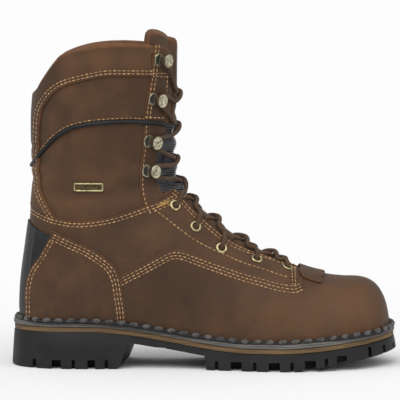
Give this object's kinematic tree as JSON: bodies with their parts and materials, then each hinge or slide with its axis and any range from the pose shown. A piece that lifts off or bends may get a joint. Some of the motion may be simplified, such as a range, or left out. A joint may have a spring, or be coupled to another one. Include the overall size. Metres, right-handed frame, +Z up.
{
  "type": "logger boot",
  "caption": "Right lace-up logger boot, ankle-high shaft, raised lugged heel, stitched storm welt, padded collar, hooks and eyelets; stands empty.",
  "frame": {"origin": "middle of the whole boot seen from above, on the floor under its sole", "axes": "+X towards the toe, +Y towards the inner side of the foot, +Z up"},
  "size_m": [0.3196, 0.1184, 0.2768],
  "materials": {
    "brown_leather": "oiled nubuck leather, matt, darker in the folds",
    "tongue_leather": "soft matt leather over foam, with a dark ribbed gusset",
    "black_rubber": "matt moulded rubber",
    "brown_midsole": "matt cellular rubber with a ground edge",
    "grey_welt": "matt welt strip with stitches",
    "moulded_black": "moulded, fine grain, soft sheen",
    "black_piping": "round woven piping",
    "antique_brass": "darkened brass, worn bright on its edges",
    "lace_cord": "round braided cord",
    "insole_cloth": "felted cloth over foam"
  },
  "bodies": {
    "root": {"outsole": "black_rubber", "midsole": "brown_midsole", "welt": "grey_welt", "insole": "insole_cloth", "upper": "brown_leather", "tongue": "tongue_leather", "heel_strip": "moulded_black", "kiltie": "brown_leather", "piping": "black_piping", "badge_plate": "antique_brass", "eyelet_outer_1": "antique_brass", "eyelet_outer_2": "antique_brass", "eyelet_outer_3": "antique_brass", "eyelet_outer_4": "antique_brass", "eyelet_outer_5": "antique_brass", "eyelet_inner_1": "antique_brass", "eyelet_inner_2": "antique_brass", "eyelet_inner_3": "antique_brass", "eyelet_inner_4": "antique_brass", "eyelet_inner_5": "antique_brass", "hook_outer_1": "antique_brass", "hook_outer_2": "antique_brass", "hook_outer_3": "antique_brass", "hook_outer_4": "antique_brass", "hook_inner_1": "antique_brass", "hook_inner_2": "antique_brass", "hook_inner_3": "antique_brass", "hook_inner_4": "antique_brass", "lace_crossing_1": "lace_cord", "lace_crossing_2": "lace_cord", "lace_crossing_3": "lace_cord", "lace_crossing_4": "lace_cord", "lace_crossing_5": "lace_cord", "lace_crossing_6": "lace_cord", "lace_crossing_7": "lace_cord", "lace_crossing_8": "lace_cord"}
  },
  "joints": []
}
